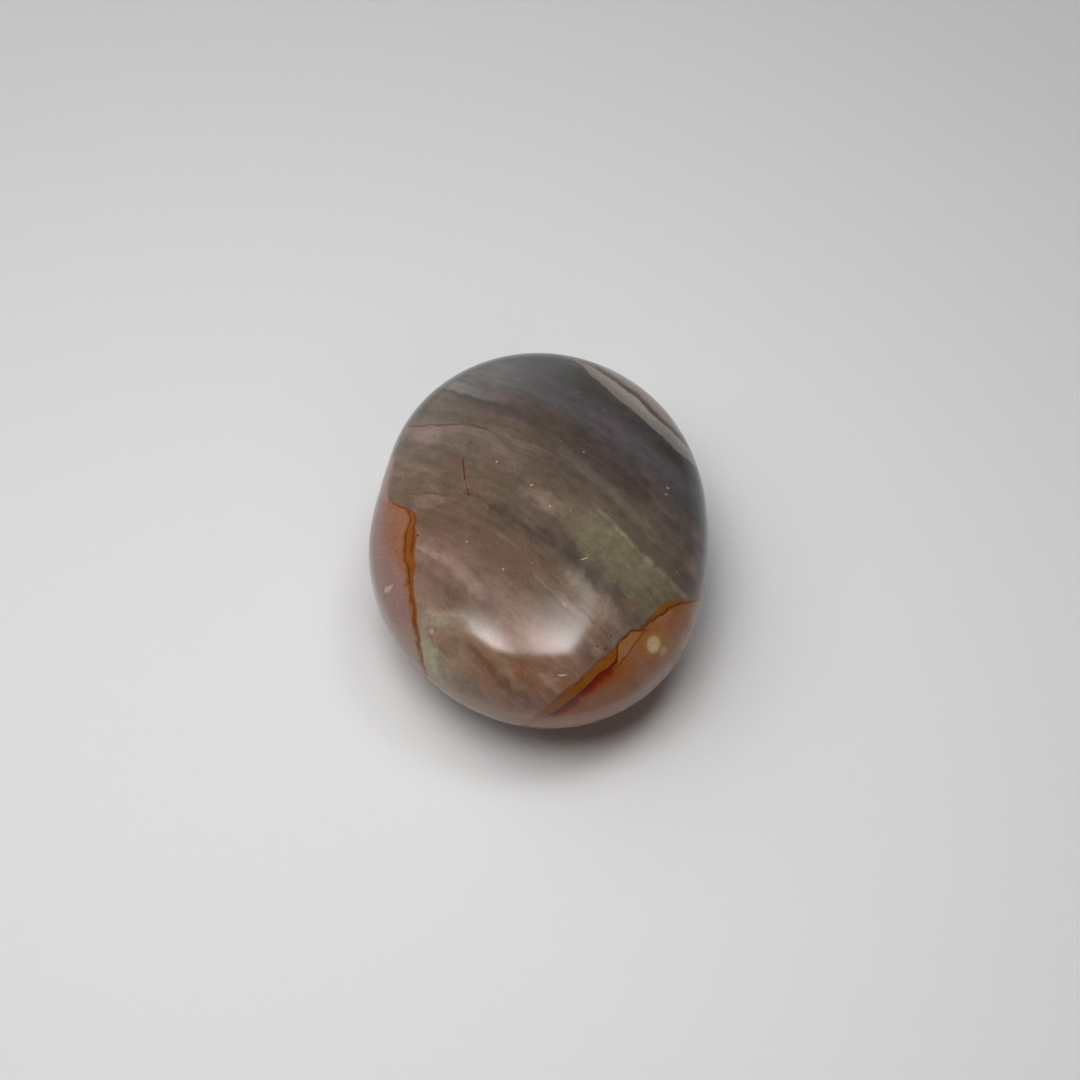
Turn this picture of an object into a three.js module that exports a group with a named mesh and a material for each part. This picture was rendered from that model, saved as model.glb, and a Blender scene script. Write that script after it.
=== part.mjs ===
// Polychrome jasper palm stone: one polished pebble in a single solid piece.
// Millimetres, +Z up. The long axis lies along Y, the short one along Z, and
// the stone rests on a small flat at Z = 0. The outline in plan is an ellipse
// made a little three-cornered and a little square, with a shallow hollow in its
// left flank. Every upright cut is rounded like a superellipse: fuller than an
// ellipse over the crown and over the underside.

import * as THREE from 'three';

// Outline in plan, at the girdle, the line where the stone is widest.
const HALF_WIDTH = 27.0;
const HALF_LENGTH = 34.8;
const PLAN_TURN_DEG = 1.1;
const THREE_CORNER_SHARE = 0.0097;
const THREE_CORNER_DEG = -51;
const SQUARE_SHARE = 0.0085;
const SQUARE_DEG = 33;
const HOLLOW_SHARE = 0.036;
const HOLLOW_DEG = 164.5;
const HOLLOW_SPREAD_DEG = 21.7;

// Heights. The girdle wanders up and down around the stone.
const THICKNESS = 27.0;
const GIRDLE_HEIGHT = 14.0;
const GIRDLE_TILT = 0.7;
const GIRDLE_TILT_DEG = 115;
const GIRDLE_WAVE = 0.5;
const GIRDLE_WAVE_DEG = 30;

// Roundness of the upright cuts: 2 is an ellipse, more is fuller.
const CROWN_FULLNESS = 2.6;
const KEEL_FULLNESS = 2.3;
const GROUND_AWAY = 1.0;      // depth lost where the flat was ground
const CROWN_SHIFT_X = -0.9;   // the crown sits slightly off the middle
const CROWN_SHIFT_Y = 0.6;

// Fineness of the facets.
const AROUND = 96;
const KEEL_RINGS = 17;
const CROWN_RINGS = 26;

const radians = THREE.MathUtils.degToRad;

function ellipseRadius(angle) {
  const turned = angle - radians(PLAN_TURN_DEG);
  return 1 / Math.hypot(Math.cos(turned) / HALF_WIDTH, Math.sin(turned) / HALF_LENGTH);
}

// How far the girdle leaves the ellipse, as a share of the radius.
function lopsidedness(angle) {
  const threeCorner = THREE_CORNER_SHARE * Math.cos(3 * (angle - radians(THREE_CORNER_DEG)));
  const square = SQUARE_SHARE * Math.cos(4 * (angle - radians(SQUARE_DEG)));
  const fromHollow = angle - radians(HOLLOW_DEG);
  const aside = Math.atan2(Math.sin(fromHollow), Math.cos(fromHollow));
  const hollow = HOLLOW_SHARE * Math.exp(-((aside / radians(HOLLOW_SPREAD_DEG)) ** 2));
  return threeCorner + square - hollow;
}

// Radius of a ring whose size is the given share of the girdle's. Smaller rings
// are closer to the plain ellipse.
function ringRadius(angle, share) {
  return ellipseRadius(angle) * share * (1 + lopsidedness(angle) * share);
}

function girdleHeight(angle) {
  const tilt = GIRDLE_TILT * Math.cos(angle - radians(GIRDLE_TILT_DEG));
  const wave = GIRDLE_WAVE * Math.cos(2 * (angle - radians(GIRDLE_WAVE_DEG)));
  return GIRDLE_HEIGHT + tilt + wave;
}

// A point below the girdle: step 0 is the edge of the flat, 1 the girdle.
function keelPoint(angle, step) {
  const girdle = girdleHeight(angle);
  const depth = girdle + GROUND_AWAY;
  const lowest = Math.asin((girdle / depth) ** (KEEL_FULLNESS / 2));
  const lean = lowest * (1 - step);
  const radius = ringRadius(angle, Math.cos(lean) ** (2 / KEEL_FULLNESS));
  const drop = depth * Math.sin(lean) ** (2 / KEEL_FULLNESS);
  const height = step === 0 ? 0 : girdle - drop;
  return [radius * Math.cos(angle), radius * Math.sin(angle), height];
}

// A point above the girdle: step 0 is the girdle, 1 the top of the crown.
function crownPoint(angle, step) {
  const girdle = girdleHeight(angle);
  const lean = step * Math.PI / 2;
  const radius = ringRadius(angle, Math.cos(lean) ** (2 / CROWN_FULLNESS));
  const rise = Math.sin(lean) ** (2 / CROWN_FULLNESS);
  const shift = rise ** 2;
  return [
    radius * Math.cos(angle) + CROWN_SHIFT_X * shift,
    radius * Math.sin(angle) + CROWN_SHIFT_Y * shift,
    girdle + (THICKNESS - girdle) * rise,
  ];
}

function stoneGeometry() {
  const points = [[0, 0, 0]];
  const rings = [];
  const addRing = (pointAt, step) => {
    rings.push(points.length);
    for (let i = 0; i < AROUND; i += 1) {
      points.push(pointAt(i / AROUND * 2 * Math.PI, step));
    }
  };
  for (let ring = 0; ring < KEEL_RINGS; ring += 1) {
    addRing(keelPoint, ring / KEEL_RINGS);
  }
  for (let ring = 0; ring < CROWN_RINGS; ring += 1) {
    addRing(crownPoint, ring / CROWN_RINGS);
  }
  const top = points.length;
  points.push([CROWN_SHIFT_X, CROWN_SHIFT_Y, THICKNESS]);

  const faces = [];
  const firstRing = rings[0];
  const lastRing = rings[rings.length - 1];
  for (let i = 0; i < AROUND; i += 1) {
    const next = (i + 1) % AROUND;
    faces.push(0, firstRing + next, firstRing + i);
    for (let ring = 0; ring + 1 < rings.length; ring += 1) {
      const low = rings[ring];
      const high = rings[ring + 1];
      faces.push(low + i, low + next, high + next);
      faces.push(low + i, high + next, high + i);
    }
    faces.push(lastRing + i, lastRing + next, top);
  }

  const geometry = new THREE.BufferGeometry();
  geometry.setAttribute('position', new THREE.Float32BufferAttribute(points.flat(), 3));
  geometry.setIndex(faces);
  geometry.computeBoundingBox();
  const middle = geometry.boundingBox.getCenter(new THREE.Vector3());
  geometry.translate(-middle.x, -middle.y, 0);
  geometry.computeVertexNormals();
  return geometry;
}

const jasper = new THREE.MeshStandardMaterial({
  name: 'jasper',
  color: 0x7a6459,
  roughness: 0.22,
  metalness: 0.0,
});

const stone = new THREE.Mesh(stoneGeometry(), jasper);
stone.name = 'stone';

const part = new THREE.Group();
part.name = 'polychrome_jasper_palm_stone';
part.add(stone);

export default part;
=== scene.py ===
"""Polychrome jasper palm stone: the fine pebble, its bands, seams and spots, and the table it lies on."""

import math

import bpy
import numpy as np
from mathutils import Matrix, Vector


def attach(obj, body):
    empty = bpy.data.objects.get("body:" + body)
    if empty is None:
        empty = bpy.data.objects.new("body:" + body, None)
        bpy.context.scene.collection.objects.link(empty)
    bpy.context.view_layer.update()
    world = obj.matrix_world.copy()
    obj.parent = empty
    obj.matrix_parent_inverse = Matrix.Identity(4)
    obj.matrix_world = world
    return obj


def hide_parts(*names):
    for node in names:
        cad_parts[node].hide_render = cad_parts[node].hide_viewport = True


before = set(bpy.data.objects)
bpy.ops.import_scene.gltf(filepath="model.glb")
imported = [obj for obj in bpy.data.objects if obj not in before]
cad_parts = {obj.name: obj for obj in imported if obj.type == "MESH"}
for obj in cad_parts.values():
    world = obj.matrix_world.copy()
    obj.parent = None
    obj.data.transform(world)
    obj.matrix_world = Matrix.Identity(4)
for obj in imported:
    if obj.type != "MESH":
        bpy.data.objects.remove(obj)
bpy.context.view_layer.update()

bl_info = {
    "name": "Polychrome jasper palm stone",
    "version": (1, 0, 0),
    "blender": (4, 5, 0),
    "location": "3D View > Sidebar > Jasper",
    "description": "Builds a polished jasper palm stone with its bands, rust seams and spots",
    "category": "Add Mesh",
}

MM = 0.001
PICTURE_PIXELS = 1080
SENSOR_WIDTH = 36.0


def tint(code):
    """A linear colour from six hexadecimal digits."""
    shares = [int(code[i:i + 2], 16) / 255 for i in (0, 2, 4)]
    return tuple(x / 12.92 if x <= 0.04045 else ((x + 0.055) / 1.055) ** 2.4 for x in shares)


class JasperShape(bpy.types.PropertyGroup):
    """Sizes of the pebble."""

    half_width: bpy.props.FloatProperty(
        name="Half width", description="Half of the stone's width", default=27.0 * MM, unit="LENGTH")
    half_length: bpy.props.FloatProperty(
        name="Half length", description="Half of the stone's length", default=34.8 * MM, unit="LENGTH")
    thickness: bpy.props.FloatProperty(
        name="Thickness", description="Height of the crown's top", default=27.0 * MM, unit="LENGTH")
    girdle_height: bpy.props.FloatProperty(
        name="Girdle height", description="Height of the widest line", default=14.0 * MM, unit="LENGTH")
    crown_fullness: bpy.props.FloatProperty(
        name="Crown fullness", description="Roundness over the girdle, 2 is an ellipse", default=2.6)
    keel_fullness: bpy.props.FloatProperty(
        name="Keel fullness", description="Roundness under the girdle, 2 is an ellipse", default=2.3)


def colour(name, code, description):
    """A colour setting of the stone."""
    return bpy.props.FloatVectorProperty(
        name=name, description=description, default=tint(code), subtype="COLOR")


class JasperColours(bpy.types.PropertyGroup):
    """Colours of the stone's bands, seams and spots."""

    sand: colour("Sand", "8f7a62", "Pale end of the bands at the lower left")
    tan: colour("Tan", "866e5d", "Pale brown bands next to the sand")
    russet: colour("Russet", "7e5b46", "Brown streaks near the lower edge")
    cocoa: colour("Cocoa", "5f3f2e", "Dark brown streaks near the lower edge")
    rose: colour("Rose", "7c6156", "Mauve pink bands left of the middle")
    umber: colour("Umber", "665041", "Brown bands in the middle")
    clay: colour("Clay", "6a5646", "Light brown bands of the left side")
    fawn: colour("Fawn", "615246", "Beige bands above the middle")
    bark: colour("Bark", "53473e", "Brown mauve bands towards the slate")
    soot: colour("Soot", "40362f", "Dark brown streak along the slate")
    slate: colour("Slate", "4c4848", "Dark bands of the upper right")
    graphite: colour("Graphite", "3a3936", "Darkest band along the cream line")
    ash: colour("Ash", "726e67", "Pale grey streaks at the upper left")
    sage: colour("Sage", "6e664e", "Greenish band right of the middle")
    moss: colour("Moss", "857f66", "Thin pale line along the greenish band")
    mauve: colour("Mauve", "54464a", "Purple tinge of the dark bands")
    plum: colour("Plum", "463835", "Dark blotches in the middle")
    line: colour("Line", "443529", "Thin dark lines")
    mint: colour("Mint", "9a937c", "Pale greenish patch at the lower left")
    blush: colour("Blush", "927a6d", "Pale pink streaks of the left side")
    cream: colour("Cream", "76716a", "Straight cream band at the upper right")
    ivory: colour("Ivory", "988f86", "Bright outer side of the cream band")
    brick: colour("Brick", "523a33", "Thin red line beyond the cream band")
    shell: colour("Shell", "867b75", "Grey pink corner beyond the cream band")
    petal: colour("Petal", "8a6b63", "Pink cap beyond the left seam")
    rust: colour("Rust", "8a5c40", "Orange stain along the left seam")
    rust_deep: colour("Deep rust", "7c4404", "Stain next to the left seam's core")
    core: colour("Seam core", "5a2a08", "Dark core of both seams")
    wine: colour("Wine", "560a00", "Dark red lower part of the right seam's core")
    ochre: colour("Ochre", "804a0a", "Stain along the upper side of the right seam")
    ember: colour("Ember", "700c00", "Dark red stain below the right seam")
    glow: colour("Glow", "85380c", "Red orange halo of the dark red stain")
    peach: colour("Peach", "8b5a38", "Orange cap beyond the right seam")
    amber: colour("Amber", "82480f", "Deeper orange of the right cap")
    honey: colour("Honey", "987244", "Pale cloud around the cream spots")
    chalk: colour("Chalk", "bda47c", "Cream spots of the right cap")
    fleck: colour("Fleck", "bcb0a0", "Pale flecks and the white dashes")


class JasperStage(bpy.types.PropertyGroup):
    """The table, the lamps and the camera."""

    elevation: bpy.props.FloatProperty(
        name="Elevation", description="Camera angle over the table",
        default=math.radians(52), subtype="ANGLE")
    distance: bpy.props.FloatProperty(
        name="Distance", description="Camera to stone", default=0.330, unit="LENGTH")
    focal_pixels: bpy.props.FloatProperty(
        name="Focal length", description="Focal length in picture pixels", default=2082.3)
    aim: bpy.props.FloatVectorProperty(
        name="Aim", description="Point the camera looks at",
        default=(0.00011, -0.00101, 0.01321), unit="LENGTH")
    lamp_power: bpy.props.FloatProperty(
        name="Lamp power", description="Power of the soft lamps for a share of one, in watts", default=1.05)
    room_strength: bpy.props.FloatProperty(
        name="Room strength", description="Brightness of the mirrored room", default=0.12)
    window_strength: bpy.props.FloatProperty(
        name="Window strength", description="Brightness of the mirrored room's light side", default=0.95)
    pane_height: bpy.props.FloatProperty(
        name="Pane height", description="Height of the mirrored panes over the table",
        default=0.28, unit="LENGTH")
    pane_strength: bpy.props.FloatProperty(
        name="Pane strength", description="Brightness of the mirrored panes where they are brightest",
        default=16.0)
    far_strength: bpy.props.FloatProperty(
        name="Far strength", description="Brightness of the far table and the backdrop", default=0.58)
    floor_colour: bpy.props.FloatVectorProperty(
        name="Table", description="Colour of the table", default=tint("e6e6e6"), subtype="COLOR")


# Half the table's width, its corners, the backdrop's height and the stretch over which the far table
# lights up, in metres.
TABLE_REACH = 10.0
TABLE_CORNERS = [(x * TABLE_REACH, y * TABLE_REACH) for x, y in ((-1, -1), (1, -1), (1, 1), (-1, 1))]
BACKDROP_HEIGHT = 6.0
FAR_TABLE = (0.15, 0.70)
TABLE_ROUGHNESS = 0.7
TABLE_SHINE = 0.2
CAMERA_NEAR_CLIP = 0.01
WHITE = (1, 1, 1, 1)
BLACK = (0, 0, 0, 1)

# The room's brighter side, seen only in the polish: its direction and how far it spreads.
WINDOW_SIDE = (-0.30, 0.93, 0.20)
WINDOW_EDGE = 0.8
WINDOW_CORE = 1.0

# Place of each soft lamp in metres, its width and its share of the light.
SOFT_LAMPS = [
    (-0.05, -0.06, 0.28, 0.18, 0.34),
    (-0.25, -0.06, 0.28, 0.18, 0.13),
    (0.15, 0.10, 0.50, 0.18, 0.44),
    (-0.05, 0.10, 0.50, 0.18, 0.27),
    (-0.25, 0.10, 0.50, 0.18, 0.13),
    (0.15, -0.30, 0.28, 0.18, 0.10),
    (-0.30, 0.30, 0.42, 0.44, 0.48),
]

# Panes mirrored in the polish, as slopes seen from the middle of the table: corners, the stretch over
# which their light grows from back to front, and the stretch over which it grows from side to side.
PANES = {
    "pane_left": (
        [(-0.56, 0.0), (-0.57, -0.40), (-0.46, -0.60), (-0.20, -0.60), (-0.14, 0.0)],
        (-0.03, -0.37), (-0.14, -0.37)),
    "pane_right": (
        [(-0.25, 0.14), (-0.25, -0.55), (0.25, -0.55), (0.29, -0.40), (0.33, -0.10), (0.33, 0.14)],
        (0.14, -0.35), (-0.27, 0.12)),
}

# Points round each ring, and rings under and over the girdle.
AROUND = 400
KEEL_RINGS = 90
CROWN_RINGS = 120

# How the plan departs from an ellipse: its turn, a hint of three and of four corners, and the hollow at the
# left; then how the girdle tilts and waves, what is ground off for the flat, and how far the crown leans.
PLAN_TURN = math.radians(1.1)
THREE_CORNER_SHARE = 0.0097
THREE_CORNER_TURN = math.radians(-51)
SQUARE_SHARE = 0.0085
SQUARE_TURN = math.radians(33)
HOLLOW_SHARE = 0.036
HOLLOW_TURN = math.radians(164.5)
HOLLOW_SPREAD = math.radians(21.7)
GIRDLE_TILT = 0.7 * MM
GIRDLE_TILT_TURN = math.radians(115)
GIRDLE_WAVE = 0.5 * MM
GIRDLE_WAVE_TURN = math.radians(30)
GROUND_AWAY = 1.0 * MM
CROWN_SHIFT = (-0.9 * MM, 0.6 * MM)

# Sockets of the colour mix node.
MIX_SHARE, MIX_UNDER, MIX_OVER, MIX_RESULT = 0, 6, 7, 2

# The bands are sheets: straight below, rounding over to level at the upper left.
# Lengths in millimetres, turns in degrees round the far axis, waves in one millimetre.
BAND_TILT = math.radians(52)
BAND_HEIGHT = 14
BAND_CENTRE = (-30.5, -41.3)
STRAIGHT_PITCH = 0.95
STRAIGHT_START = 51.3
ROUNDED_FROM = (-9, 5)
SLOW_SWING = 0.3
UNDER_SWING = 3.0
QUICK_SWING = 0.12
RAGGED_SWING = 0.8
STREAK_STRETCH = 0.16
STREAK_DEPTH = 0.12

# Way across the bands where each colour is purest.
BAND_STOPS = [
    (24, "sand"), (28, "sand"), (31, "tan"), (34, "tan"), (36, "umber"), (38.5, "rose"), (40.5, "rose"),
    (44, "umber"), (48, "umber"), (51, "bark"), (55, "fawn"), (58, "fawn"), (61.5, "bark"), (64, "bark"),
    (66.2, "soot"), (67.4, "soot"), (69.6, "slate"), (73, "slate"), (75, "graphite"), (77, "graphite"),
    (79.5, "slate"),
]
BAND_RANGE = (20, 82)

# Streaks: way across the bands, half width, first and last turn, colour, share.
STREAKS = [
    (51.5, 5.5, 65, 84, "clay", 0.85),
    (58.8, 3.2, 65, 84, "blush", 0.25),
    (58.8, 3.2, 65, 84, "fawn", 0.55),
    (63.6, 2.0, 65, 84, "clay", 0.35),
    (70.5, 5.0, 70, 84, "ash", 0.26),
    (67.0, 1.2, 71, 84, "ash", 0.60),
    (36.0, 4.0, 64, 84, "rose", 0.70),
    (35.5, 9.0, 14, 46, "russet", 0.85),
    (32.9, 0.8, 30, 48, "cocoa", 0.55),
    (49.0, 2.6, 30, 43, "blush", 0.35),
    (61.5, 2.5, 28, 38, "fawn", 0.35),
    (66.5, 3.4, 26, 42, "fawn", 0.50),
    (66.5, 3.4, 26, 42, "mauve", 0.20),
    (65.5, 4.0, 24, 42, "ash", 0.15),
    (67.5, 1.8, 60, 68, "fawn", 0.40),
    (61.8, 0.7, 61, 66, "blush", 0.25),
    (63.6, 1.0, 49, 55, "ash", 0.22),
    (39.3, 1.2, 58, 80, "blush", 0.60),
    (36.2, 1.1, 54, 66, "umber", 0.45),
    (44.5, 1.2, 46, 58, "umber", 0.50),
]

# Lines that follow the bands: way across them at each turn.
DARK_LINE = [(63, 59.8), (66, 60.6), (69.5, 61.5), (74, 60.5), (79, 59.2)]
DOTTED_LINE = [(41, 47.6), (50, 48.5), (58, 49.7), (66, 51.2), (70, 50.2), (80, 47.4)]
SOOT_LINE = [(38, 66.4), (44, 65.8), (50, 65.4), (54, 66.2), (61, 68.4), (66, 68.8)]
HAIR_CRACK = [(11.3, -11.6), (9.8, -11.7), (8.4, -11.5), (5.4, -10.8)]

# The left seam, as points up and across; the widths of its stain follow the same way.
LEFT_SEAM = [
    (9.7, -23.2), (7.3, -23.4), (4.9, -22.8), (3.8, -21.5), (2.9, -19.9), (2.0, -19.6),
    (0.9, -20.0), (-0.4, -20.2), (-4.6, -20.2), (-5.6, -19.8), (-8.0, -19.4), (-21.6, -17.2),
]
LEFT_STAIN_OUT = [
    (5.0, 0.6), (3.8, 2.9), (2.0, 4.8), (-0.6, 4.0), (-3.0, 3.2), (-5.0, 2.2), (-9.0, 1.1), (-21.0, 0.5),
]
LEFT_STAIN_IN = [
    (4.2, 0.4), (3.3, 0.8), (0.9, 1.4), (-0.4, 1.8), (-4.6, 1.4), (-6.0, 1.0), (-8.0, 0.6), (-21.0, 0.3),
]

# The right seam: its start, its way, and points along and over it.
RIGHT_SEAM_START = (24.1, -10.1)
RIGHT_SEAM_WAY = (-0.818, -0.575)
RIGHT_CORE = [
    (-1.0, -0.6), (1.5, 0.2), (3.0, 1.0), (4.3, 1.3), (7.5, 1.5), (9.6, 1.4), (11.3, 2.2),
    (13.0, 2.1), (14.9, 0.6), (17.0, -0.3), (20.0, -0.5), (27.0, -1.2), (30.0, -0.6),
]
RIGHT_UPPER = [
    (-1.0, 0.0), (1.2, 0.9), (3.2, 2.0), (5.4, 2.6), (9.6, 1.8),
    (11.2, 2.4), (13.7, 1.8), (16.4, 1.6), (24.7, 0.8), (31.0, 0.1),
]
RIGHT_LOWER = [
    (9.6, 0.9), (11.0, 0.6), (14.0, -0.4), (16.0, -0.9),
    (20.0, -1.5), (24.0, -1.8), (28.5, -1.6), (31.0, -1.0),
]

# The cream band runs straight down to the right: points along it and square to it.
CREAM_EDGE = [(-15, 23.9), (-12, 23.95), (-7, 24.0), (-3, 24.35), (2, 24.6), (6.5, 24.6), (11, 24.7)]
BRICK_LINE = [(-15, 24.5), (-12, 25.4), (-7, 26.1), (-3, 26.5), (2, 26.4), (6.5, 26.45), (9, 26.5)]

# Soft patches: middle across and up, half length, half width, lean in degrees, colour, share.
PATCHES = [
    ((-6.7, 4.1), 1.1, 0.6, -40, "plum", 0.4),
    ((-4.9, 2.9), 1.0, 0.7, -40, "plum", 0.3),
    ((-0.1, -0.7), 2.6, 1.4, -25, "plum", 0.5),
    ((2.4, -1.3), 0.9, 0.8, 0, "plum", 0.5),
    ((4.6, -3.1), 1.7, 1.0, -30, "plum", 0.5),
    ((8.2, -6.1), 1.0, 1.7, 20, "plum", 0.45),
    ((12.1, -8.5), 1.4, 1.0, -20, "plum", 0.6),
    ((13.3, -11.5), 1.6, 1.5, -45, "umber", 0.6),
    ((-19.8, 11.2), 1.1, 0.8, 0, "umber", 0.5),
    ((-14.8, 10.7), 3.2, 0.9, 0, "umber", 0.4),
    ((0.9, 4.9), 4.2, 1.6, -35, "blush", 0.3),
    ((6.4, -7.9), 3.0, 1.6, -50, "mint", 0.35),
    ((8.7, -0.8), 2.6, 1.4, -40, "sage", 0.6),
    ((12.7, -2.3), 2.6, 1.4, -45, "sage", 0.6),
    ((12.0, 5.2), 1.0, 2.0, 0, "sage", 0.3),
    ((11.4, 16.0), 4.0, 1.6, -40, "mauve", 0.5),
    ((-6.9, -8.5), 3.2, 1.9, -45, "rose", 0.5),
    ((-7.5, -6.4), 2.0, 1.1, -45, "umber", 0.4),
    ((-10.7, -1.7), 2.4, 1.2, -30, "blush", 0.2),
    ((-17.2, 15.0), 2.2, 1.6, 20, "blush", 0.3),
    ((-16.8, 5.2), 2.2, 1.8, 0, "blush", 0.25),
    ((16.5, -6.6), 2.6, 1.4, -45, "moss", 0.35),
    ((9.5, -12.0), 3.0, 2.0, -50, "blush", 0.4),
    ((8.0, -16.8), 2.0, 1.2, -50, "blush", 0.4),
    # Painted light: the next two pale strips lie on the front rim and stand in for light thrown up from the
    # table.
    ((1.1, -27.9), 4.0, 1.0, 0, "blush", 0.5),
    ((-9.4, -26.4), 3.6, 1.2, -25, "blush", 0.6),
    ((-13.4, -17.3), 2.2, 1.6, -50, "umber", 0.5),
    ((3.1, -23.4), 2.0, 1.2, -40, "rust", 0.45),
    ((23.4, -5.6), 1.6, 1.4, -60, "blush", 0.25),
    ((-16.2, -18.2), 4.4, 1.5, -68, "mint", 0.95),
    ((-14.8, -12.9), 3.4, 1.3, -10, "mint", 0.5),
    ((-12.4, -10.4), 3.8, 1.0, -55, "umber", 0.55),
    ((-5.9, -21.4), 4.6, 1.0, -43, "cocoa", 0.4),
    ((-3.7, -21.6), 4.0, 0.55, -48, "sand", 0.4),
    ((-2.1, -19.8), 2.4, 1.7, -40, "peach", 0.35),
    ((-10.3, -23.5), 3.0, 1.6, -40, "fawn", 0.5),
    ((1.5, -22.6), 3.0, 0.6, -48, "blush", 0.4),
    ((-9.5, -17.2), 2.6, 1.3, -45, "cocoa", 0.35),
]

# Pale flecks by place, with their radius.
FLECKS = [
    ((-6.6, 3.7, 26.9), 0.2), ((-1.2, -1.1, 27.0), 0.2), ((19.9, 0.8, 24.0), 0.22),
    ((19.6, -0.6, 24.1), 0.18), ((6.9, 5.8, 26.7), 0.15), ((-5.4, -16.5, 26.0), 0.2),
    ((-10.9, -11.4, 26.1), 0.18), ((1.6, -5.2, 26.9), 0.22), ((-16.0, -24.2, 20.8), 0.4),
]

# Dark red pits above the right seam and beside the left one, and the cream spots of the right cap.
RED_PITS = [(10.6, -26.2, 22.3), (8.6, -27.8, 22.1), (9.7, -28.0, 21.6)]
RED_PIT_RADIUS = 0.2
LEFT_PIT = ((-18.45, -9.1, 24.75), 0.25)
CREAM_SPOT = ((17.1, -25.5, 19.2), 1.25)
SMALL_CREAM_SPOT = ((18.6, -25.4, 17.3), 0.7)

# Patches of the caps: middle across and up, half length, half width, lean in degrees.
LEFT_CAP_SPOT = ((-22.8, -8.8), 0.45, 0.8, 10)
SPOT_CLOUD = ((17.6, -17.0), 2.6, 2.2, 0)
RIGHT_CAP_RIM = ((17.4, -21.8), 3.4, 1.2, 42)

# Short straight marks, as the patches above: a crack and two white dashes.
DASHES = [
    ((-10.9, 13.8), 0.75, 0.1, 47, "core", 0.6),
    ((3.2, -21.1), 0.6, 0.12, 5, "fleck", 0.9),
    ((6.6, -4.0), 0.6, 0.1, 20, "fleck", 0.7),
]

# Stretches of the hair crack that show: from and to upwards, ease, share.
CRACK_STRETCHES = [(8.4, 11.1, 0.5, 1.0), (5.5, 7.3, 0.4, 0.6)]

# Ways across the bands of the greenish band, its pale line and the pale thread.
SAGE_WAY = 56.4
MOSS_WAY = 59.4
THREAD_WAY = 46.6

# Half widths of the seams' cores and of the thin lines, where they end and where they begin to fade.
LEFT_CORE_WIDTH = (0.26, 0.05)
RIGHT_CORE_WIDTH = (0.34, 0.08)
LINE_WIDTH = (0.3, 0.05)
CRACK_WIDTH = (0.2, 0.05)

# Painted light low on the front, standing in for light thrown up from the table: its height, half widths,
# and the stretch of depth over which it fades in.
PAINTED_TABLE_LIGHT_HEIGHT = 12.0
PAINTED_TABLE_LIGHT_WIDTH = (2.6, 1.0)
PAINTED_TABLE_LIGHT_DEPTH = (-13, -17)

# The polish: its roughness and how that changes, the height of its waves and grain in millimetres.
POLISH_ROUGHNESS = 0.17
POLISH_CHANGE = 0.02
WAVE_HEIGHT = 0.004
GRAIN_HEIGHT = 0.0005
JASPER_IOR = 1.42


def ring_radius(shape, angle, share):
    """Radius of a ring whose size is the given share of the girdle's."""
    turned = angle - PLAN_TURN
    ellipse = 1 / np.hypot(np.cos(turned) / shape.half_width, np.sin(turned) / shape.half_length)
    aside = np.arctan2(np.sin(angle - HOLLOW_TURN), np.cos(angle - HOLLOW_TURN))
    lopsided = (
        THREE_CORNER_SHARE * np.cos(3 * (angle - THREE_CORNER_TURN))
        + SQUARE_SHARE * np.cos(4 * (angle - SQUARE_TURN))
        - HOLLOW_SHARE * np.exp(-((aside / HOLLOW_SPREAD) ** 2))
    )
    return ellipse * share * (1 + lopsided * share)


def stone_points(shape):
    """Rings of points from the flat to the crown, then the flat's middle and the crown's top."""
    angle = np.linspace(0, 2 * math.pi, AROUND, endpoint=False)
    girdle = (
        shape.girdle_height
        + GIRDLE_TILT * np.cos(angle - GIRDLE_TILT_TURN)
        + GIRDLE_WAVE * np.cos(2 * (angle - GIRDLE_WAVE_TURN))
    )
    depth = girdle + GROUND_AWAY
    lowest = np.arcsin((girdle / depth) ** (shape.keel_fullness / 2))
    rings = []
    for ring in range(KEEL_RINGS):
        lean = lowest * (1 - ring / KEEL_RINGS)
        radius = ring_radius(shape, angle, np.cos(lean) ** (2 / shape.keel_fullness))
        drop = depth * np.sin(lean) ** (2 / shape.keel_fullness)
        rings.append(np.stack([radius * np.cos(angle), radius * np.sin(angle), girdle - drop], -1))
    for ring in range(CROWN_RINGS):
        lean = ring / CROWN_RINGS * math.pi / 2
        radius = ring_radius(shape, angle, math.cos(lean) ** (2 / shape.crown_fullness))
        rise = math.sin(lean) ** (2 / shape.crown_fullness)
        rings.append(np.stack([
            radius * np.cos(angle) + CROWN_SHIFT[0] * rise ** 2,
            radius * np.sin(angle) + CROWN_SHIFT[1] * rise ** 2,
            girdle + (shape.thickness - girdle) * rise,
        ], -1))
    ends = [[0, 0, 0], [CROWN_SHIFT[0], CROWN_SHIFT[1], shape.thickness]]
    points = np.concatenate([np.array(rings).reshape(-1, 3), ends])
    middle = (points.min(0) + points.max(0)) / 2
    points[:, :2] -= middle[:2]
    return points


def stone_faces():
    """Quads between the rings, and a fan on the flat and on the crown."""
    rings = KEEL_RINGS + CROWN_RINGS
    flat_middle = rings * AROUND
    top = flat_middle + 1
    last = (rings - 1) * AROUND
    faces = []
    for i in range(AROUND):
        j = (i + 1) % AROUND
        faces.append((flat_middle, j, i))
        faces.append((last + i, last + j, top))
        for ring in range(rings - 1):
            low = ring * AROUND
            high = low + AROUND
            faces.append((low + i, low + j, high + j, high + i))
    return faces


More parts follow.
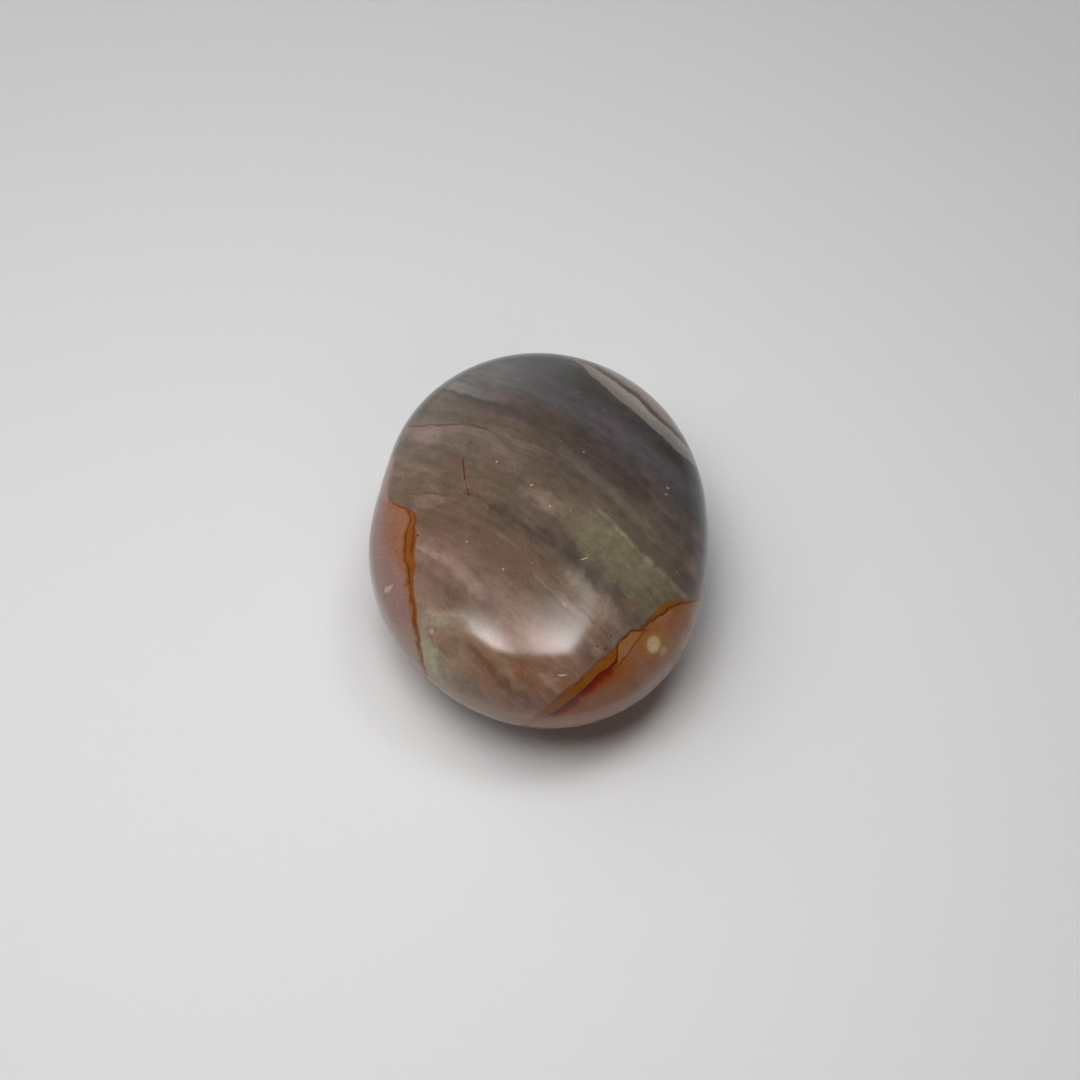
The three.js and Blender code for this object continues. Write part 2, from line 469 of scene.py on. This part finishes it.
class Field:
    """A number known at every point of the stone, worked out by nodes."""

    def __init__(self, tree, socket):
        self.tree = tree
        self.socket = socket

    def math(self, operation, *others):
        """The result of a math node on this number and the others."""
        node = self.tree.nodes.new("ShaderNodeMath")
        node.operation = operation
        for slot, value in zip(node.inputs, (self, *others)):
            if isinstance(value, Field):
                self.tree.links.new(value.socket, slot)
            else:
                slot.default_value = value
        return Field(self.tree, node.outputs[0])

    def __add__(self, other):
        return self.math("ADD", other)

    def __sub__(self, other):
        return self.math("SUBTRACT", other)

    def __mul__(self, other):
        return self.math("MULTIPLY", other)

    def __truediv__(self, other):
        return self.math("DIVIDE", other)

    def __abs__(self):
        return self.math("ABSOLUTE")

    def smooth(self, start, end):
        """0 up to the start and 1 from the end on, easing between them."""
        node = self.tree.nodes.new("ShaderNodeMapRange")
        node.interpolation_type = "SMOOTHSTEP"
        node.inputs["From Min"].default_value = start
        node.inputs["From Max"].default_value = end
        self.tree.links.new(self.socket, node.inputs["Value"])
        return Field(self.tree, node.outputs["Result"])

    def near(self, middle, reach, core=0.0):
        """1 within the core around the middle, easing to 0 at the reach."""
        return abs(self - middle).smooth(reach, core)

    def between(self, low, high, ease):
        """1 from low to high, easing to 0 outside."""
        return self.near((low + high) / 2, (high - low) / 2 + ease, (high - low) / 2)

    def curve(self, points):
        """Height of the smooth line through the points, where this number is the way along it."""
        node = self.tree.nodes.new("ShaderNodeFloatCurve")
        points = sorted(points)
        start = points[0][0]
        span = points[-1][0] - start
        low = min(height for way, height in points)
        rise = max(height for way, height in points) - low
        knots = node.mapping.curves[0].points
        while len(knots) < len(points):
            knots.new(0.5, 0.5)
        for knot, (way, height) in zip(knots, points):
            knot.location = ((way - start) / span, (height - low) / rise)
        node.mapping.extend = "HORIZONTAL"
        node.mapping.update()
        self.tree.links.new(((self - start) / span).socket, node.inputs["Value"])
        return Field(self.tree, node.outputs["Value"]) * rise + low


class Rock:
    """Places inside the stone in millimetres: across it, up and deep, tilted with the bands."""

    def __init__(self, tree):
        self.tree = tree
        place = tree.nodes.new("ShaderNodeTexCoord")
        metres = place.outputs["Object"]
        x, y, z = (axis / MM for axis in self.split(metres))
        self.place = self.join(x, y, z)
        self.height = z
        high = z - BAND_HEIGHT
        up = y * math.sin(BAND_TILT) + high * math.cos(BAND_TILT)
        self.deep = y * math.cos(BAND_TILT) - high * math.sin(BAND_TILT)
        self.under = z.smooth(9, 1)
        self.plain = self.join(x, up, self.deep)
        bent = self.bend(self.plain, 0.11, self.under * UNDER_SWING + SLOW_SWING)
        bent = self.bend(bent, 0.5, QUICK_SWING)
        self.across, self.up, self.deep = self.split(bent)
        self.sheet = self.join(self.across, self.up, 0)
        self.ragged = self.bend(self.sheet, 0.45, RAGGED_SWING)
        east = self.across - BAND_CENTRE[0]
        north = self.up - BAND_CENTRE[1]
        arc = (east * east + north * north).math("SQRT")
        straight = (self.across + self.up) * (math.sqrt(0.5) * STRAIGHT_PITCH) + STRAIGHT_START
        rounded = self.up.smooth(*ROUNDED_FROM)
        self.band = straight + (arc - straight) * rounded
        self.turn = north.math("ARCTAN2", east) * (180 / math.pi)
        self.mottle = self.noise(self.plain, 0.7, 4, 0.6)
        self.veins = self.noise(self.plain, 1.2, 3, 0.65)

    def split(self, vector):
        """The three numbers of a place."""
        node = self.tree.nodes.new("ShaderNodeSeparateXYZ")
        self.tree.links.new(vector, node.inputs[0])
        return [Field(self.tree, out) for out in node.outputs]

    def join(self, *parts):
        """The place made of three numbers."""
        node = self.tree.nodes.new("ShaderNodeCombineXYZ")
        for slot, part in zip(node.inputs, parts):
            if isinstance(part, Field):
                self.tree.links.new(part.socket, slot)
            else:
                slot.default_value = part
        return node.outputs[0]

    def cloud(self, vector, scale, detail, roughness):
        """A noise node read at the place."""
        node = self.tree.nodes.new("ShaderNodeTexNoise")
        node.inputs["Scale"].default_value = scale
        node.inputs["Detail"].default_value = detail
        node.inputs["Roughness"].default_value = roughness
        self.tree.links.new(vector, node.inputs["Vector"])
        return node

    def noise(self, vector, scale, detail=2.0, roughness=0.5):
        """Smooth chance from about -1 to 1, with the given number of waves in a millimetre."""
        node = self.cloud(vector, scale, detail, roughness)
        return (Field(self.tree, node.outputs["Fac"]) - 0.5) * 4

    def bend(self, vector, scale, reach):
        """The place pushed aside by chance, by about the reach."""
        offset = self.tree.nodes.new("ShaderNodeVectorMath")
        offset.operation = "SUBTRACT"
        offset.inputs[1].default_value = (0.5, 0.5, 0.5)
        self.tree.links.new(self.cloud(vector, scale, 1.0, 0.5).outputs["Color"], offset.inputs[0])
        push = self.tree.nodes.new("ShaderNodeVectorMath")
        push.operation = "SCALE"
        self.tree.links.new(offset.outputs[0], push.inputs[0])
        if isinstance(reach, Field):
            self.tree.links.new((reach * 4).socket, push.inputs["Scale"])
        else:
            push.inputs["Scale"].default_value = reach * 4
        total = self.tree.nodes.new("ShaderNodeVectorMath")
        self.tree.links.new(vector, total.inputs[0])
        self.tree.links.new(push.outputs[0], total.inputs[1])
        return total.outputs[0]

    def streaks(self, scale, seed, detail=3.0, roughness=0.6):
        """Chance drawn out along the bands."""
        drawn = self.join(self.band + seed, self.turn * STREAK_STRETCH, self.deep * STREAK_DEPTH)
        return self.noise(drawn, scale, detail, roughness)

    def patch(self, middle, wide, tall, lean=0.0, ragged=True):
        """1 inside a blotch of the front side, easing to 0 around it; the lean is in degrees."""
        node = self.tree.nodes.new("ShaderNodeMapping")
        node.vector_type = "TEXTURE"
        node.inputs["Location"].default_value = (*middle, 0)
        node.inputs["Rotation"].default_value = (0, 0, math.radians(lean))
        node.inputs["Scale"].default_value = (wide, tall, 1)
        self.tree.links.new(self.ragged if ragged else self.sheet, node.inputs["Vector"])
        far = self.tree.nodes.new("ShaderNodeVectorMath")
        far.operation = "LENGTH"
        self.tree.links.new(node.outputs[0], far.inputs[0])
        return Field(self.tree, far.outputs["Value"]).smooth(1.4, 0.5) * self.deep.smooth(6, 0)

    def ball(self, middle, radius, soft=0.4):
        """1 inside a small ball, easing to 0 at its skin."""
        node = self.tree.nodes.new("ShaderNodeVectorMath")
        node.operation = "DISTANCE"
        node.inputs[1].default_value = middle
        self.tree.links.new(self.place, node.inputs[0])
        return Field(self.tree, node.outputs["Value"]).smooth(radius * (1 + soft), radius * (1 - soft))


class Paint:
    """The colour of the stone, laid on in coats."""

    def __init__(self, tree, socket):
        self.tree = tree
        self.socket = socket

    def coat(self, share, colour):
        """Lay on a colour by the share it covers."""
        node = self.tree.nodes.new("ShaderNodeMix")
        node.data_type = "RGBA"
        self.tree.links.new(share.socket, node.inputs[MIX_SHARE])
        self.tree.links.new(self.socket, node.inputs[MIX_UNDER])
        node.inputs[MIX_OVER].default_value = (*colour, 1)
        self.socket = node.outputs[MIX_RESULT]

    def shade(self, amount):
        """Lighten or darken all colours by the amount."""
        node = self.tree.nodes.new("ShaderNodeVectorMath")
        node.operation = "SCALE"
        self.tree.links.new(self.socket, node.inputs[0])
        self.tree.links.new((amount + 1).socket, node.inputs["Scale"])
        self.socket = node.outputs[0]


def band_ramp(rock, colours):
    """Colours of the bands by the way across them."""
    low, high = BAND_RANGE
    wobble = rock.streaks(0.3, 0) * 0.9 + rock.streaks(0.9, 30) * 0.5
    node = rock.tree.nodes.new("ShaderNodeValToRGB")
    rock.tree.links.new(((rock.band + wobble - low) / (high - low)).socket, node.inputs["Fac"])
    stops = node.color_ramp.elements
    while len(stops) < len(BAND_STOPS):
        stops.new(0.5)
    for stop, (way, name) in zip(stops, BAND_STOPS):
        stop.position = (way - low) / (high - low)
        stop.color = (*getattr(colours, name), 1)
    return Paint(rock.tree, node.outputs["Color"])


def paint_bands(rock, paint, colours):
    """Streaks, tinges, patches and thin lines of the bands."""
    fine = rock.streaks(0.85, 60)
    broad = rock.streaks(0.45, 90)
    mottle = rock.noise(rock.plain, 0.5, 4, 0.6)
    for way, half, first, last, name, share in STREAKS:
        streak = (rock.band + broad * 0.5).near(way, half, half * 0.4) * rock.turn.between(first, last, 5)
        paint.coat(streak * (fine * 0.3 + mottle * 0.2 + 0.9) * share, getattr(colours, name))
    soot = (rock.band + broad * 0.6 - rock.turn.curve(SOOT_LINE)).near(0, 2.0, 0.5)
    paint.coat(soot * rock.turn.between(46, 57, 4) * (fine * 0.4 + 0.5), colours.soot)
    right = rock.turn.smooth(54, 44)
    sage = right * rock.band.near(SAGE_WAY, 4.2, 1.8)
    paint.coat(sage * (broad * 0.3 + mottle * 0.3 + 0.55), colours.sage)
    tinge = rock.streaks(0.5, 120)
    paint.coat(tinge.smooth(0.1, 0.9) * rock.band.smooth(58, 66) * 0.55, colours.mauve)
    paint.coat(tinge.smooth(-0.1, -0.9) * rock.band.between(44, 66, 4) * 0.4, colours.sage)
    for middle, wide, tall, lean, name, share in PATCHES:
        patch = rock.patch(middle, wide, tall, lean) * (mottle * 0.4 + 0.95)
        paint.coat(patch * share, getattr(colours, name))
    moss = rock.turn.between(28, 47, 3) * (rock.band + fine * 0.1).near(MOSS_WAY, 0.5, 0.1)
    paint.coat(moss * (mottle * 0.4 + 0.4), colours.moss)
    thread = rock.turn.between(40, 49, 2) * (rock.band + fine * 0.08).near(THREAD_WAY, *LINE_WIDTH)
    paint.coat(thread * 0.22, colours.mint)
    threads = rock.streaks(1.5, 45, 3, 0.65)
    lower = rock.band.between(24, 41, 3) * rock.turn.between(12, 50, 4)
    paint.coat(lower * threads.smooth(0.1, 0.9) * 0.4, colours.cocoa)
    paint.coat(lower * threads.smooth(-0.1, -0.9) * 0.35, colours.blush)
    paint.shade(fine * 0.14 + broad * 0.14 + mottle * 0.16)
    dark = rock.band - rock.turn.curve(DARK_LINE) + fine * 0.06
    paint.coat(dark.near(0, *LINE_WIDTH) * rock.turn.smooth(66, 71) * (fine * 0.3 + 0.7), colours.line)
    paint.coat(dark.between(-1.4, -0.4, 0.5) * rock.turn.smooth(60, 66) * 0.2, colours.blush)
    dotted = (rock.band + fine * 0.1 - rock.turn.curve(DOTTED_LINE)).near(0, 0.5, 0.1)
    paint.coat(dotted * rock.streaks(1.6, 10).smooth(-0.4, 0.5) * 0.5, colours.line)


def paint_corner(rock, paint, colours):
    """The cream band, the thin red line and the grey pink corner beyond."""
    square = (rock.across + rock.up) * math.sqrt(0.5)
    along = (rock.across - rock.up) * math.sqrt(0.5)
    lines = rock.noise(rock.join(square, along * 0.12, rock.deep * 0.12), 0.8, 4, 0.65)
    cream = square - along.curve(CREAM_EDGE)
    beyond = square - along.curve(BRICK_LINE) + lines * 0.08
    paint.coat(cream.smooth(-0.15, 0.15), colours.cream)
    paint.coat(cream.smooth(0.2, 1.9) * (lines * 0.2 + 0.9), colours.ivory)
    paint.coat(beyond.smooth(-0.3, 0.2), colours.shell)
    paint.coat(beyond.smooth(-0.4, -0.1) * beyond.smooth(0.9, 0.1) * 0.9, colours.brick)
    eye = beyond.smooth(0.5, 1.6) * rock.deep.smooth(5, 10)
    paint.coat(eye * lines.smooth(-0.2, 0.8) * 0.7, colours.rose)
    paint.coat(eye * lines.smooth(0.1, -0.8) * 0.5, colours.ash)


def paint_left_seam(rock, paint, colours):
    """The pink cap, the orange stain and the dark core of the left seam."""
    mottle = rock.mottle
    veins = rock.veins
    aside = rock.across - rock.up.curve(LEFT_SEAM)
    cap = aside.smooth(0.2, -0.4)
    paint.coat(cap, colours.petal)
    paint.coat(cap * rock.up.smooth(-12, -18) * 0.5, colours.mint)
    paint.coat(cap * rock.up.smooth(-10, -20) * 0.3, colours.peach)
    out = (aside + mottle * 0.5) / rock.up.curve(LEFT_STAIN_OUT)
    inside = (aside + mottle * 0.12) / rock.up.curve(LEFT_STAIN_IN)
    top = rock.up.smooth(5.2, 4.2)
    edge = inside.smooth(1.1, 0.8) * top
    stain = out.smooth(-1.15, -0.3) * edge
    paint.coat(stain * 0.85, colours.rust)
    paint.coat(stain * mottle.smooth(0.2, 0.9) * 0.5, colours.rust_deep)
    deep = (aside + mottle * 0.25).smooth(-0.8, 0.05) * edge
    paint.coat(deep * (mottle * 0.25 + 0.85), colours.rust_deep)
    paint.coat(deep * veins.smooth(0.2, 0.9) * 0.5, colours.core)
    paint.coat(deep * veins.smooth(-0.2, -0.9) * 0.4, colours.amber)
    branch = (inside + veins * 0.15).near(0.7, 0.22, 0.05) * rock.up.between(-3, 3, 1.5)
    paint.coat(branch * (veins * 0.4 + 0.6), colours.core)
    lower = rock.up.smooth(-6, -11)
    ends = rock.up.smooth(-24, -19) * rock.up.smooth(7, 4)
    core = (aside + mottle * 0.12).near(0, *LEFT_CORE_WIDTH) * ends
    paint.coat(core * (mottle * 0.4 + 0.8) * (lower * -0.4 + 1), colours.core)
    rim = aside.near(0, *LINE_WIDTH) * rock.up.between(6, 20, 4)
    paint.coat(rim * 0.4, colours.rust)
    paint.coat(rock.ball(*LEFT_PIT), colours.core)
    paint.coat(rock.patch(*LEFT_CAP_SPOT) * 0.5, colours.fleck)


def paint_right_seam(rock, paint, colours):
    """The orange cap with its cream spots, the ochre and dark red stains and the core of the right seam."""
    mottle = rock.mottle
    veins = rock.veins
    cloud = rock.noise(rock.plain, 0.3, 3)
    east = rock.across - RIGHT_SEAM_START[0]
    north = rock.up - RIGHT_SEAM_START[1]
    along = east * RIGHT_SEAM_WAY[0] + north * RIGHT_SEAM_WAY[1]
    over = east * RIGHT_SEAM_WAY[1] - north * RIGHT_SEAM_WAY[0] + mottle * 0.1 + veins * 0.08
    upper = over - along.curve(RIGHT_UPPER)
    lower = over - along.curve(RIGHT_LOWER)
    core = over - along.curve(RIGHT_CORE)
    cap = core.smooth(0.25, -0.3)
    paint.coat(cap, colours.peach)
    paint.coat(cap * cloud.smooth(-0.3, 0.6) * 0.6, colours.amber)
    paint.coat(cap * cloud.smooth(0.0, -0.8) * 0.3, colours.petal)
    paint.coat(cap * along.smooth(10, 18) * 0.3, colours.amber)
    paint.coat(cap * mottle.smooth(0.1, 0.9) * 0.4, colours.umber)
    paint.coat(cap * rock.patch(*SPOT_CLOUD) * 0.5, colours.honey)
    paint.coat(cap * rock.patch(*RIGHT_CAP_RIM) * 0.35, colours.blush)
    stain = upper.smooth(0.25, -0.45) * core.smooth(-0.3, 0.2)
    paint.coat(stain * (mottle * 0.2 + 0.95), colours.ochre)
    paint.coat(stain * along.smooth(12, 17) * 0.6, colours.rust_deep)
    paint.coat(stain * veins.smooth(0.2, 0.9) * 0.4, colours.core)
    paint.coat(stain * veins.smooth(-0.2, -0.9) * 0.35, colours.rust)
    fringe = (upper + veins * 0.15).near(-0.15, 0.3, 0.05) * along.between(8, 27, 2)
    paint.coat(fringe * (veins * 0.5 + 0.45), colours.core)
    lens = lower.smooth(-0.1, 0.3) * core.smooth(0.2, -0.2) * along.smooth(9, 10.5)
    paint.coat(lens * along.smooth(19, 15) * 0.25, colours.honey)
    fire = along.smooth(15, 18) * along.smooth(31, 27)
    paint.coat(lower.smooth(-1.6, 0.2) * core.smooth(0.2, -0.2) * fire * 0.75, colours.glow)
    paint.coat((core + mottle * 0.2).smooth(-1.2, -0.4) * core.smooth(0.3, 0.0) * fire * 0.9, colours.ember)
    vein = (core + mottle * 0.1).near(0, *RIGHT_CORE_WIDTH) * (mottle * 0.3 + 0.85)
    paint.coat(vein, colours.core)
    paint.coat(vein * along.smooth(12, 17), colours.wine)
    paint.coat(lower.near(0, 0.25, 0.05) * along.between(9.5, 16, 1.0) * 0.6, colours.core)
    paint.coat(rock.ball(*CREAM_SPOT, soft=0.3) * (mottle * 0.2 + 0.9), colours.chalk)
    paint.coat(rock.ball(*SMALL_CREAM_SPOT, soft=0.6) * 0.45, colours.chalk)


def paint_flecks(rock, paint, colours):
    """The hair cracks, dark red pits, white dashes and pale flecks."""
    crack = (rock.across - rock.up.curve(HAIR_CRACK)).near(0, *CRACK_WIDTH)
    for low, high, ease, share in CRACK_STRETCHES:
        paint.coat(crack * rock.up.between(low, high, ease) * share, colours.core)
    for middle, wide, tall, lean, name, share in DASHES:
        paint.coat(rock.patch(middle, wide, tall, lean, ragged=False) * share, getattr(colours, name))
    for middle in RED_PITS:
        paint.coat(rock.ball(middle, RED_PIT_RADIUS) * 0.8, colours.core)
    for middle, radius in FLECKS:
        paint.coat(rock.ball(middle, radius) * 0.5, colours.fleck)
    paint.coat(rock.noise(rock.plain, 2.0, 0).smooth(1.4, 1.55) * 0.3, colours.fleck)


def jasper_material(colours):
    """The stone all through: banded, seamed, spotted and polished."""
    material = bpy.data.materials.new("jasper")
    material.use_nodes = True
    tree = material.node_tree
    bsdf = tree.nodes["Principled BSDF"]
    rock = Rock(tree)
    paint = band_ramp(rock, colours)
    paint_bands(rock, paint, colours)
    paint_corner(rock, paint, colours)
    paint_left_seam(rock, paint, colours)
    paint_right_seam(rock, paint, colours)
    paint_flecks(rock, paint, colours)
    # Painted light: a paler band low on the front of the stone, standing in for light thrown up from the
    # table.
    painted_table_light = rock.height.near(PAINTED_TABLE_LIGHT_HEIGHT, *PAINTED_TABLE_LIGHT_WIDTH) * rock.deep.smooth(*PAINTED_TABLE_LIGHT_DEPTH)
    paint.coat(painted_table_light * 0.6, colours.blush)
    grain = rock.noise(rock.plain, 2.6, 3, 0.7)
    paint.shade(grain * 0.2 + 0.12)
    tree.links.new(paint.socket, bsdf.inputs["Base Color"])
    polish = (grain + rock.noise(rock.plain, 0.3)) * POLISH_CHANGE + POLISH_ROUGHNESS
    tree.links.new(polish.socket, bsdf.inputs["Roughness"])
    bump = tree.nodes.new("ShaderNodeBump")
    bump.inputs["Distance"].default_value = MM
    relief = rock.noise(rock.plain, 0.25) * WAVE_HEIGHT + grain * GRAIN_HEIGHT
    tree.links.new(relief.socket, bump.inputs["Height"])
    tree.links.new(bump.outputs[0], bsdf.inputs["Normal"])
    bsdf.inputs["IOR"].default_value = JASPER_IOR
    return material


class JASPER_OT_stone(bpy.types.Operator):
    """Build the polished stone"""

    bl_idname = "jasper.stone"
    bl_label = "Stone"

    def execute(self, context):
        shape = context.scene.jasper_shape
        mesh = bpy.data.meshes.new("palm_stone")
        mesh.from_pydata(stone_points(shape).tolist(), [], stone_faces())
        mesh.shade_smooth()
        stone = bpy.data.objects.new("palm_stone", mesh)
        context.scene.collection.objects.link(stone)
        mesh.materials.append(jasper_material(context.scene.jasper_colours))
        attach(stone, "root")
        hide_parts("stone")
        return {"FINISHED"}


def soft_lamp(scene, place, width, power):
    """A round lamp turned to the stone, too soft to be seen in the polish."""
    data = bpy.data.lights.new("soft_lamp", "AREA")
    data.shape = "DISK"
    data.size = width
    data.energy = power
    lamp = bpy.data.objects.new("soft_lamp", data)
    scene.collection.objects.link(lamp)
    lamp.location = place
    lamp.rotation_euler = (-Vector(place)).to_track_quat("-Z", "Y").to_euler()
    lamp.visible_glossy = False


def mirrored_pane(scene, name, corners, growths, stage):
    """A glowing pane seen only in the polish, brightest at its front and on one side."""
    mesh = bpy.data.meshes.new(name)
    height = stage.pane_height
    mesh.from_pydata([(x * height, y * height, height) for x, y in corners], [], [range(len(corners))])
    pane = bpy.data.objects.new(name, mesh)
    scene.collection.objects.link(pane)
    material = bpy.data.materials.new(name)
    material.use_nodes = True
    nodes = material.node_tree.nodes
    links = material.node_tree.links
    nodes.clear()
    place = nodes.new("ShaderNodeTexCoord")
    split = nodes.new("ShaderNodeSeparateXYZ")
    links.new(place.outputs["Object"], split.inputs[0])
    glow = nodes.new("ShaderNodeEmission")
    out = nodes.new("ShaderNodeOutputMaterial")
    both = nodes.new("ShaderNodeMath")
    both.operation = "MULTIPLY"
    for slot, axis, (dark, full), reach in zip(both.inputs, "YX", growths, (stage.pane_strength, 1)):
        fade = nodes.new("ShaderNodeMapRange")
        fade.inputs["From Min"].default_value = dark * height
        fade.inputs["From Max"].default_value = full * height
        fade.inputs["To Max"].default_value = reach
        links.new(split.outputs[axis], fade.inputs["Value"])
        links.new(fade.outputs[0], slot)
    links.new(both.outputs[0], glow.inputs["Strength"])
    links.new(glow.outputs[0], out.inputs["Surface"])
    mesh.materials.append(material)
    pane.visible_camera = False
    pane.visible_diffuse = False
    pane.visible_shadow = False


class JASPER_OT_stage(bpy.types.Operator):
    """Set the table, the lamps and the camera"""

    bl_idname = "jasper.stage"
    bl_label = "Stage"

    def execute(self, context):
        scene = context.scene
        stage = scene.jasper_stage
        self.table(scene, stage)
        self.backdrop(scene, stage)
        self.lights(scene, stage)
        self.camera(scene, stage)
        return {"FINISHED"}

    @staticmethod
    def table(scene, stage):
        """The pale table, which the lamps light near the stone and which glows far away."""
        mesh = bpy.data.meshes.new("table")
        mesh.from_pydata([(x, y, 0) for x, y in TABLE_CORNERS], [], [(0, 1, 2, 3)])
        table = bpy.data.objects.new("table", mesh)
        scene.collection.objects.link(table)
        paper = bpy.data.materials.new("table")
        paper.use_nodes = True
        nodes = paper.node_tree.nodes
        links = paper.node_tree.links
        bsdf = nodes["Principled BSDF"]
        bsdf.inputs["Base Color"].default_value = (*stage.floor_colour, 1)
        bsdf.inputs["Roughness"].default_value = TABLE_ROUGHNESS
        bsdf.inputs["Specular IOR Level"].default_value = TABLE_SHINE
        bsdf.inputs["Emission Color"].default_value = WHITE
        place = nodes.new("ShaderNodeTexCoord")
        away = nodes.new("ShaderNodeVectorMath")
        away.operation = "LENGTH"
        far = nodes.new("ShaderNodeMapRange")
        far.interpolation_type = "SMOOTHSTEP"
        far.inputs["From Min"].default_value, far.inputs["From Max"].default_value = FAR_TABLE
        far.inputs["To Max"].default_value = stage.far_strength
        links.new(place.outputs["Object"], away.inputs[0])
        links.new(away.outputs["Value"], far.inputs["Value"])
        links.new(far.outputs[0], bsdf.inputs["Emission Strength"])
        mesh.materials.append(paper)

    @staticmethod
    def backdrop(scene, stage):
        """Pale walls round the far table, which only the camera sees."""
        mesh = bpy.data.meshes.new("backdrop")
        points = [(x, y, z) for z in (0, BACKDROP_HEIGHT) for x, y in TABLE_CORNERS]
        walls = [(i, (i + 1) % 4, (i + 1) % 4 + 4, i + 4) for i in range(4)]
        mesh.from_pydata(points, [], walls)
        backdrop = bpy.data.objects.new("backdrop", mesh)
        scene.collection.objects.link(backdrop)
        pale = bpy.data.materials.new("backdrop")
        pale.use_nodes = True
        bsdf = pale.node_tree.nodes["Principled BSDF"]
        bsdf.inputs["Base Color"].default_value = BLACK
        bsdf.inputs["Specular IOR Level"].default_value = 0
        bsdf.inputs["Emission Color"].default_value = WHITE
        bsdf.inputs["Emission Strength"].default_value = stage.far_strength
        mesh.materials.append(pale)
        backdrop.visible_diffuse = False
        backdrop.visible_glossy = False
        backdrop.visible_shadow = False

    @staticmethod
    def lights(scene, stage):
        """The mirrored room with its light side, the soft lamps and the mirrored panes."""
        scene.view_settings.view_transform = "Standard"
        world = bpy.data.worlds.new("white room")
        world.use_nodes = True
        nodes = world.node_tree.nodes
        links = world.node_tree.links
        place = nodes.new("ShaderNodeTexCoord")
        towards = nodes.new("ShaderNodeVectorMath")
        towards.operation = "DOT_PRODUCT"
        towards.inputs[1].default_value = Vector(WINDOW_SIDE).normalized()
        fade = nodes.new("ShaderNodeMapRange")
        fade.interpolation_type = "SMOOTHSTEP"
        fade.inputs["From Min"].default_value = WINDOW_EDGE
        fade.inputs["From Max"].default_value = WINDOW_CORE
        fade.inputs["To Min"].default_value = stage.room_strength
        fade.inputs["To Max"].default_value = stage.window_strength
        links.new(place.outputs["Generated"], towards.inputs[0])
        links.new(towards.outputs["Value"], fade.inputs["Value"])
        links.new(fade.outputs[0], nodes["Background"].inputs["Strength"])
        nodes["Background"].inputs["Color"].default_value = WHITE
        world.cycles_visibility.diffuse = False
        scene.world = world
        for x, y, z, width, share in SOFT_LAMPS:
            soft_lamp(scene, (x, y, z), width, share * stage.lamp_power)
        for name, (corners, *growths) in PANES.items():
            mirrored_pane(scene, name, corners, growths, stage)

    @staticmethod
    def camera(scene, stage):
        """The camera, level from side to side and looking at the aim."""
        data = bpy.data.cameras.new("camera")
        data.sensor_width = SENSOR_WIDTH
        data.lens = stage.focal_pixels / PICTURE_PIXELS * SENSOR_WIDTH
        data.clip_start = CAMERA_NEAR_CLIP
        camera = bpy.data.objects.new("camera", data)
        scene.collection.objects.link(camera)
        aim = Vector(stage.aim)
        ahead = Vector((0, math.cos(stage.elevation), -math.sin(stage.elevation)))
        camera.location = aim - ahead * stage.distance
        camera.rotation_euler = ahead.to_track_quat("-Z", "Y").to_euler()
        scene.camera = camera


class JASPER_PT_panel(bpy.types.Panel):
    """The stone's pieces and settings"""

    bl_idname = "JASPER_PT_panel"
    bl_label = "Jasper palm stone"
    bl_space_type = "VIEW_3D"
    bl_region_type = "UI"
    bl_category = "Jasper"

    def draw(self, context):
        layout = self.layout
        for operator in OPERATORS:
            layout.operator(operator.bl_idname)
        for group in (getattr(context.scene, name) for name in GROUPS):
            box = layout.box()
            for name in group.__annotations__:
                box.prop(group, name)


GROUPS = {"jasper_shape": JasperShape, "jasper_colours": JasperColours, "jasper_stage": JasperStage}
OPERATORS = (JASPER_OT_stone, JASPER_OT_stage)


def register():
    for cls in (*GROUPS.values(), *OPERATORS, JASPER_PT_panel):
        bpy.utils.register_class(cls)
    for name, group in GROUPS.items():
        setattr(bpy.types.Scene, name, bpy.props.PointerProperty(type=group))


def unregister():
    for name in GROUPS:
        delattr(bpy.types.Scene, name)
    for cls in reversed((*GROUPS.values(), *OPERATORS, JASPER_PT_panel)):
        bpy.utils.unregister_class(cls)


def main():
    register()
    bpy.ops.jasper.stone()
    bpy.ops.jasper.stage()


if __name__ == "__main__":
    main()
